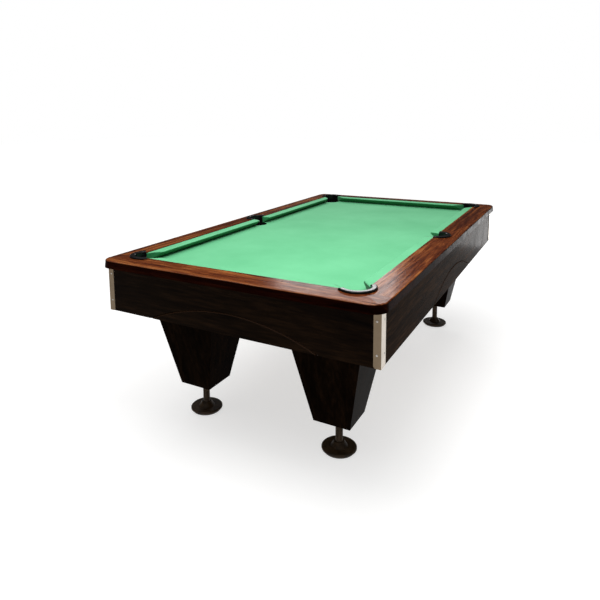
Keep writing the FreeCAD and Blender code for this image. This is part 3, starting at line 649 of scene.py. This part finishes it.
# %% Finishes for the frame
FINISHES = [
    ("side_rail", RAIL_ALONG),
    ("end_rail", RAIL_ACROSS),
    ("side_apron", APRON_ALONG),
    ("end_apron", APRON_ACROSS),
    ("leg_nuts", BOLT_METAL),
    ("leg_bolts", BOLT_METAL),
    ("rail_bolts", BOLT_METAL),
    ("leg_", LEG_STAIN),
    ("long_beam", TIMBER_ALONG),
    ("centre_beam", TIMBER_ALONG),
    ("cross_beams", TIMBER_ACROSS),
    ("corner_blocks", TIMBER_ALONG),
    ("sub_rails", TIMBER_ALONG),
    ("slate", SLATE),
    ("bed_cloth", CLOTH),
    ("cushion_cloth", CLOTH),
    ("cushion_rubbers", RUBBER),
    ("feather_strips", SEAM_DARK),
    ("pocket_liner", LINER_BLACK),
    ("pocket_cup", CUP_BLACK),
    ("corner_trim", TRIM_METAL),
    ("trim_screws", SCREW_METAL),
    ("foot_disc", FOOT_PAINT),
    ("foot_stem", STEM_STEEL),
]
for name, piece in nodes.items():
    finish = next(material for start, material in FINISHES if name.startswith(start))
    piece.data.materials.clear()
    piece.data.materials.append(finish)
print("finished", len(nodes), "frame pieces")

# %% [markdown]
# ## Threaded stems
# Each foot screws up and down on a stem. Its V thread is a fold in the radius: where height
# over pitch, less the share of a turn, is halfway between whole numbers, the thread has its
# crest, and where it is a whole number, its root. So the crest climbs one pitch with each turn.

# %% Threads on the stems
PITCH, THREAD_DEPTH = 0.004, 0.0014
TURN_STEPS, PITCH_STEPS = 36, 6


def threaded_stem(node):
    """Radius less depth times |2 phase - 1|, where phase is height / pitch - angle / turn."""
    low, high = (np.array(corner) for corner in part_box(node))
    centre, radius = (low + high) / 2, (high[0] - low[0]) / 2
    angle = np.linspace(0, 2 * np.pi, TURN_STEPS, endpoint=False)
    rows = round((high[2] - low[2]) / PITCH * PITCH_STEPS) + 1
    height = np.linspace(low[2], high[2], rows)[:, None]
    phase = (height / PITCH - angle / (2 * np.pi)) % 1
    reach = radius - THREAD_DEPTH * np.abs(2 * phase - 1)
    across = centre[0] + reach * np.cos(angle)
    along = centre[1] + reach * np.sin(angle)
    points = np.stack([across, along, np.broadcast_to(height, reach.shape)], axis=-1)
    faces = grid_faces(rows, TURN_STEPS, closed=True)[:, ::-1].tolist()
    last = (rows - 1) * TURN_STEPS
    faces += [list(range(TURN_STEPS))[::-1], list(range(last, last + TURN_STEPS))]
    return points, faces


for node in [name for name in nodes if name.startswith("foot_stem_")]:
    corner = node.removeprefix("foot_stem_")
    stem = make_mesh("threaded_stem_" + corner, *threaded_stem(node), smooth=False)
    stem.data.materials.append(STEM_STEEL)
    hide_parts(node)
    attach(stem, "stem_" + corner)
    print(stem.name, "has", len(stem.data.polygons), "faces")

# %% [markdown]
# ## The bed cloth
# The cloth is one stretched sheet, pulled over the slate and cut at each pocket: a round hole
# at each corner, and a round bay in the border at each middle pocket. The cuts lie just
# outside the liners' collars, which pass down through the slate. The sheet is made without
# thickness, and a Solidify modifier thickens it afterwards, downwards to the stone.

# %% The sheet's outline and holes
CUT_BACK = 0.004
HOLE_STEPS, BAY_STEPS = 96, 64


def circle(x, y, radius):
    """Points at equal angles round a centre: centre plus radius times cosine and sine."""
    angle = np.linspace(0, 2 * np.pi, HOLE_STEPS, endpoint=False)
    return np.stack([x + radius * np.cos(angle), y + radius * np.sin(angle)], axis=1)


def outer_edge():
    """The sheet's border: a rectangle with a round bay at each middle pocket."""
    radius = MIDDLE_BORE + CUT_BACK
    reach = math.acos((SLATE_X - WOOD_X) / radius)
    sweep = np.linspace(reach, 2 * np.pi - reach, BAY_STEPS)
    bay = np.stack([WOOD_X + radius * np.cos(sweep), radius * np.sin(sweep)], axis=1)[::-1]
    right = np.concatenate([[[SLATE_X, -SLATE_Y]], bay, [[SLATE_X, SLATE_Y]]])
    return np.concatenate([right, -right])


print("the border of the cloth has", len(outer_edge()), "points")

# %% [markdown]
# A Delaunay triangulation makes the sheet from the border, the holes and the points of a plain
# grid: it joins them with triangles that are as even as they can be, and keeps the given loops
# as edges. It fills the holes too, so the triangles whose middle lies inside a pocket are taken
# out afterwards.

# %% The sheet
SKIN = 0.0009
GRID_X, GRID_Y = 27, 49
GRID_CLEARANCE = 0.01
ON_BORDER, IN_POCKET, SAME_POINT = 1e-6, 1e-5, 1e-7


def outside_pockets(points, margin):
    """True for each point farther from every pocket's centre than its cut plus a margin."""
    clear = np.ones(len(points), dtype=bool)
    for x, y, bore in POCKETS:
        clear &= np.hypot(points[:, 0] - x, points[:, 1] - y) > bore + CUT_BACK + margin
    return clear


def bed_sheet():
    """Triangles between the border, the four holes and a grid, at the bed's height."""
    lines_x = np.linspace(-SLATE_X, SLATE_X, GRID_X)
    lines_y = np.linspace(-SLATE_Y, SLATE_Y, GRID_Y)
    grid = np.stack(np.meshgrid(lines_x, lines_y), axis=-1).reshape(-1, 2)
    inside = (np.abs(grid) <= np.array([SLATE_X, SLATE_Y]) - ON_BORDER).all(axis=1)
    loose = grid[inside & outside_pockets(grid, GRID_CLEARANCE)]
    loops = [outer_edge()]
    loops += [circle(x, y, bore + CUT_BACK) for x, y, bore in POCKETS if y != 0]
    ends = np.cumsum([len(loop) for loop in loops])
    numbers = [list(range(end - len(loop), end)) for end, loop in zip(ends, loops)]
    flat = np.concatenate([*loops, loose])
    found = delaunay_2d_cdt([Vector(point) for point in flat.tolist()], [], numbers, 1, SAME_POINT)
    corners = np.array([tuple(point) for point in found[0]])
    faces = np.array([face for face in found[2] if len(face) == 3])
    faces = faces[outside_pockets(corners[faces].mean(axis=1), -IN_POCKET)]
    points = np.column_stack([corners, np.full(len(corners), BED)])
    return make_mesh("bed_sheet", points, faces.tolist(), smooth=False)


def thicken(piece, offset):
    """Give a sheet its thickness: an offset of -1 goes below the surface, and 1 above it."""
    skin = piece.modifiers.new("cloth_thickness", "SOLIDIFY")
    skin.thickness = SKIN
    skin.offset = offset


bed = bed_sheet()
bed.data.materials.append(CLOTH)
thicken(bed, -1.0)
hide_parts("bed_cloth")
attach(bed, "table")

# %% [markdown]
# ## The cushions' section
# Each cushion is a rubber nose under tight cloth. Its section is a rounded wedge: a nearly flat
# top, a small-radius nose, and an underside that falls back to the rail. It is drawn as a short
# line with few corners, in millimetres out from the nose and up from the bed, and each corner
# is then rounded by a curve that starts a set distance before it.

# %% The cushion's section
MM = 1000
ROUND_STEPS = 6


def rounded(points, reaches):
    """Replace each inner corner of a line with a curve that starts a set distance from it.

    Each curve is the quadratic blend (1-t)^2 a + 2t(1-t) corner + t^2 b of its two ends."""
    points = np.asarray(points, dtype=float)
    t = np.linspace(0, 1, ROUND_STEPS)[:, None]
    parts = [points[:1]]
    for before, corner, after, reach in zip(points, points[1:], points[2:], reaches):
        back, ahead = before - corner, after - corner
        a = corner + back / np.linalg.norm(back) * reach
        b = corner + ahead / np.linalg.norm(ahead) * reach
        parts.append((1 - t) ** 2 * a + 2 * t * (1 - t) * corner + t**2 * b)
    parts.append(points[-1:])
    return np.concatenate(parts)


SEAM, TOP, SHOULDER, NOSE_TOP = (49.2, 37.7), (49.2, 39.3), (22.0, 39.3), (7.4, 39.2)
NOSE_HIGH, NOSE_LOW = (0.0, 36.8), (0.0, 33.4)
THROAT, LIP, FOOT = (28.2, 10.9), (35.7, 10.9), (35.7, 0.5)
LINE = [SEAM, TOP, SHOULDER, NOSE_TOP, NOSE_HIGH, NOSE_LOW, THROAT, LIP, FOOT]
SECTION = rounded(LINE, (1.0, 4.0, 4.0, 1.4, 1.4, 2.5, 2.0)) / MM

# %% [markdown]
# ## Where a cushion ends
# A cushion is cut on a slant at each pocket, so each point of its section ends at a place of
# its own. At a corner the cut starts from the bore at 45 degrees, and at the middle it is
# nearly square. Both open a little towards the bed, which is the splay.

# %% The cuts at the pockets
CORNER_SPLAY, MIDDLE_SPLAY = 0.10, 0.20


def corner_end(out, bore_out, bore_along):
    """The end at a corner pocket: along = bore_along + gap, where gap grows with out.

    The gap is (across (1 + splay) - bore root 2) / (1 - splay), for across = out - bore_out."""
    across = out - bore_out
    gap = (across * (1 + CORNER_SPLAY) - CORNER_BORE * math.sqrt(2)) / (1 - CORNER_SPLAY)
    return bore_along + gap


def middle_end(out):
    """The end at a middle pocket: the bore plus the splay times the distance to the wood."""
    return MIDDLE_BORE + MIDDLE_SPLAY * (WOOD - out)


def cushion_ends(label, out):
    """The low and high end of a cushion, for each distance out from the nose."""
    if label in ("front", "rear"):
        high = corner_end(NOSE_Y + out, CORNER_Y, CORNER_X)
        return -high, high
    high = corner_end(NOSE_X + out, CORNER_X, CORNER_Y)
    low = middle_end(out)
    return (low, high) if label.endswith("rear") else (-high, -low)


print("a front cushion's nose ends at", cushion_ends("front", 0.0))

# %% [markdown]
# ## The cushion covers
# The section is carried along its rail between the two cuts, as a grid of places along by
# points of the section. The cover lies under its Solidify skin, so the cloth grows outwards
# from the rubber. Its flat size is the section's length by the longest line of the grid.

# %% Covers
ALONG_STEPS = 61
CUSHIONS = ["front", "rear", "left_front", "left_rear", "right_front", "right_rear"]


def on_rail(rail, along, out, up):
    """Turn (along, out from the nose, up from the bed) into the table's own axes."""
    sign = 1 if rail in ("right", "rear") else -1
    if rail in ("left", "right"):
        return np.stack([sign * (NOSE_X + out), along, BED + up], axis=-1)
    return np.stack([along, sign * (NOSE_Y + out), BED + up], axis=-1)


def cushion_cover(label):
    """A point lies at low + (high - low) share along its rail, with the section across it."""
    rail = label.split("_")[0]
    low, high = cushion_ends(label, SECTION[:, 0])
    along = low + (high - low) * np.linspace(0, 1, ALONG_STEPS)[:, None]
    out, up = (np.broadcast_to(line, along.shape) for line in SECTION.T)
    faces = grid_faces(*along.shape)
    if rail in ("left", "rear"):
        faces = faces[:, ::-1]
    made = make_mesh("cushion_cover_" + label, on_rail(rail, along, out, up), faces.tolist())
    return made, float((high - low).max())


for label in CUSHIONS:
    cover, length = cushion_cover(label)
    cover.data.materials.append(CLOTH)
    thicken(cover, 1.0)
    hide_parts("cushion_cloth_" + label)
    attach(cover, "table")

# %% [markdown]
# ## Facings
# At each pocket the rubber ends in a thin facing with cloth pulled over it. A facing is the
# section, closed at the back. Its rings are drawn in towards a middle point as they stand
# proud, which rounds its rim, and a flat cap closes the last one.

# %% Facings
BACK_CORNER = (49.4, 0.5)
LOOP = np.concatenate([SECTION, [np.array(BACK_CORNER) / MM]])
FACING_MIDDLE = np.array([0.042, 0.022])
LEAST_SHARE = 0.05
RIM = np.array([(0.0, -0.2), (0.0, 0.8), (0.3, 1.3), (1.0, 1.6), (3.0, 1.7), (9.0, 1.75)]) / MM


def facing(label, rail, at_high):
    """Rings of the section: middle + spoke * (1 - drawn / spoke's length), stood proud."""
    spokes = LOOP - FACING_MIDDLE
    lengths = np.linalg.norm(spokes, axis=1, keepdims=True)
    drawn, proud = RIM[:, :1, None], RIM[:, 1:]
    rings = FACING_MIDDLE + spokes * np.clip(1 - drawn / lengths, LEAST_SHARE, 1)
    out, up = rings[..., 0], rings[..., 1]
    low, high = cushion_ends(label, out)
    return on_rail(rail, high + proud if at_high else low - proud, out, up)


facing_points, facing_faces, start = [], [], 0
for label in CUSHIONS:
    rail = label.split("_")[0]
    for at_high in (False, True):
        rings = facing(label, rail, at_high)
        count, size = rings.shape[:2]
        cap = np.arange((count - 1) * size, count * size)[::-1] + start
        quads = grid_faces(count, size, closed=True) + start
        flip = (rail in ("left", "rear")) != at_high
        facing_points.append(rings.reshape(-1, 3))
        facing_faces += (quads if flip else quads[:, ::-1]).tolist()
        facing_faces.append((cap if flip else cap[::-1]).tolist())
        start += count * size
facings = make_mesh("cushion_facings", np.concatenate(facing_points), facing_faces)
facings.data.materials.append(CLOTH)
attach(facings, "table")
print("facings:", len(facings.data.polygons), "faces")

# %% [markdown]
# ## Floor
# The table stands on plain pale paper. The paper also glows a little, as it does under strong
# studio light, so that it runs out to white with only a soft shadow under the table.

# %% Floor
FLOOR_REACH = 30
PAPER_GREYS = [(0.3, (0.50, 0.50, 0.50)), (0.7, (0.52, 0.52, 0.52))]
paper, tree, shader, place = new_material("studio_floor")
sockets = {
    "Base Color": ramp(tree, noise(tree, place, 0.6, 2.0), PAPER_GREYS),
    "Roughness": 0.8,
    "Emission Color": (1.0, 1.0, 1.0, 1.0),
    "Emission Strength": 0.62,
}
fill(tree, shader, sockets)
edges = [(-1, -1, 0), (1, -1, 0), (1, 1, 0), (-1, 1, 0)]
floor = make_mesh("floor", FLOOR_REACH * np.array(edges), [(0, 1, 2, 3)])
floor.data.materials.append(paper)
print("the floor is", 2 * FLOOR_REACH, "metres wide")

# %% [markdown]
# ## Lights
# A wide soft sun lights everything evenly from above, and a lamp over the near end lifts the
# cloth. Two panels behind the table are there for the gloss: the high one draws a sheen on the
# rails and liners, and the low one a pale reflection on the far part of the side apron.

# %% Lamps
def place_light(name, kind, power):
    """A light of one kind and power, linked to the scene."""
    light = bpy.data.lights.new(name, kind)
    light.energy = power
    made = bpy.data.objects.new(name, light)
    bpy.context.scene.collection.objects.link(made)
    return made


def panel(name, place, target, width, height, power):
    """A rectangular soft light at one place, turned towards a target."""
    made = place_light(name, "AREA", power)
    made.data.shape = "RECTANGLE"
    made.data.size, made.data.size_y = width, height
    made.location = place
    direction = Vector(target) - Vector(place)
    made.rotation_euler = direction.to_track_quat("-Z", "Y").to_euler()


overhead = place_light("overhead", "SUN", 0.85)
overhead.data.angle = math.radians(60)
overhead.rotation_euler = (math.radians(6), math.radians(-8), 0)
panel("table_lamp", (0.35, -1.0, 2.55), (0.15, -0.6, 0.84), 1.0, 1.6, 36)
panel("sheen_panel", (-1.85, 4.2, 2.9), (0.65, -1.2, 0.87), 2.0, 0.75, 30)
panel("side_panel", (1.15, 3.6, 0.25), (0.75, 1.0, 0.7), 0.8, 0.5, 6)
print("lights:", len(bpy.data.lights))

# %% [markdown]
# ## Backdrop
# The world is a dome that glows near its top and is almost dark at the sides, so the upright
# boards stay as dark as they are. Where the backdrop itself is seen, it is plain white.

# %% World
world = bpy.data.worlds.new("studio")
bpy.context.scene.world = world
world.use_nodes = True
sky = world.node_tree
sky.nodes.clear()
way = sky.nodes.new("ShaderNodeTexCoord").outputs["Generated"]
dome = {
    "Value": add(sky, "ShaderNodeSeparateXYZ", {0: way}).outputs["Z"],
    "From Min": 0.4,
    "From Max": 0.9,
    "To Min": 0.05,
    "To Max": 0.95,
}
glow = add(sky, "ShaderNodeMapRange", dome, interpolation_type="SMOOTHSTEP").outputs[0]
seen = add(sky, "ShaderNodeBackground", {"Color": (1, 1, 1, 1), "Strength": 1.0}).outputs[0]
lit = add(sky, "ShaderNodeBackground", {"Color": (1.0, 0.99, 0.97, 1), "Strength": glow}).outputs[0]
direct = add(sky, "ShaderNodeLightPath", {}).outputs["Is Camera Ray"]
both = add(sky, "ShaderNodeMixShader", {0: direct, 1: lit, 2: seen}).outputs[0]
add(sky, "ShaderNodeOutputWorld", {0: both})
bpy.context.scene.view_settings.view_transform = "Standard"
print("the world has", len(sky.nodes), "nodes")

# %% [markdown]
# ## Camera
# The camera stands at eye height, off the near right corner. It was fitted to the table's own
# corners and edges in the picture, so its focal length and centre are given in the pixels of a
# square picture, and then turned into a lens and two small shifts.

# %% Camera
PICTURE, SENSOR = 600, 36
FOCAL, CENTRE_X, CENTRE_Y = 547.46, 285.5, 187.01
AZIMUTH, DOWNWARD, ROLL = (math.radians(angle) for angle in (29.27, 7.40, -0.59))
EYE = Vector((1.36, -3.12, 1.57))
ahead = Vector((-math.sin(AZIMUTH), math.cos(AZIMUTH), 0))
forward = ahead * math.cos(DOWNWARD) + Vector((0, 0, -math.sin(DOWNWARD)))
level = Vector((math.cos(AZIMUTH), math.sin(AZIMUTH), 0))
above = level.cross(forward)
right = level * math.cos(ROLL) + above * math.sin(ROLL)
up = -level * math.sin(ROLL) + above * math.cos(ROLL)
lens = bpy.data.cameras.new("portrait")
lens.sensor_width = SENSOR
lens.lens = FOCAL / PICTURE * SENSOR
lens.shift_x = (PICTURE / 2 - CENTRE_X) / PICTURE
lens.shift_y = (CENTRE_Y - PICTURE / 2) / PICTURE
camera = bpy.data.objects.new("portrait", lens)
bpy.context.scene.collection.objects.link(camera)
turn = Matrix((right, up, -forward)).transposed().to_4x4()
camera.matrix_world = Matrix.Translation(EYE) @ turn
bpy.context.scene.camera = camera
print("camera at", tuple(round(value, 2) for value in EYE), "with a", round(lens.lens, 1), "mm lens")

# %% [markdown]
# ## Last look
# The view layer is brought up to date once more.

# %% Bring the scene up to date
bpy.context.view_layer.update()
